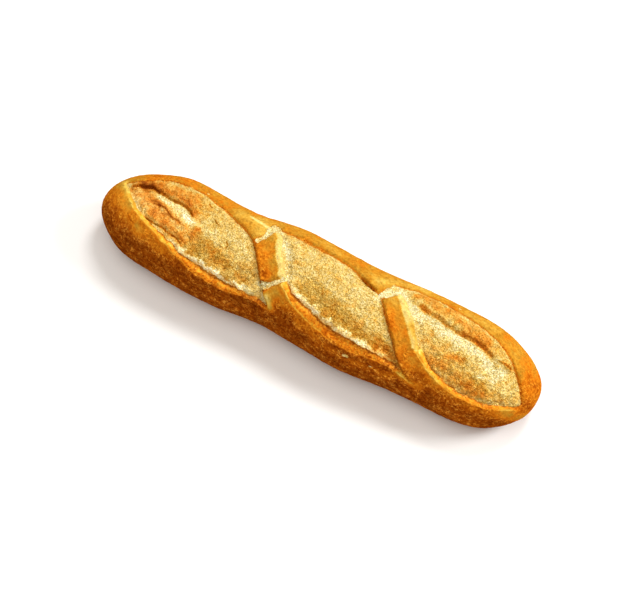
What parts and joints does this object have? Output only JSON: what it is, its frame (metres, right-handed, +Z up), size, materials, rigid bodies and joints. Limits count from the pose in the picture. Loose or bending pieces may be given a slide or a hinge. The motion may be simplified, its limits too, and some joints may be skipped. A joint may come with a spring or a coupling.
{
  "type": "baguette",
  "caption": "Short, broad baguette: one whole baked loaf with rounded ends, a flat underside and overlapping slashes that have opened along its top.",
  "frame": {"origin": "centre of the loaf's plan, on the surface that it lies on", "axes": "+X along the loaf, +Y across it to its far side, +Z up out of its slashed top"},
  "size_m": [0.28, 0.0658, 0.0472],
  "materials": {
    "crust": "baked wheat crust, golden to deep brown, with paler torn crumb in the slashes"
  },
  "bodies": {
    "root": {"loaf": "crust"}
  },
  "joints": []
}
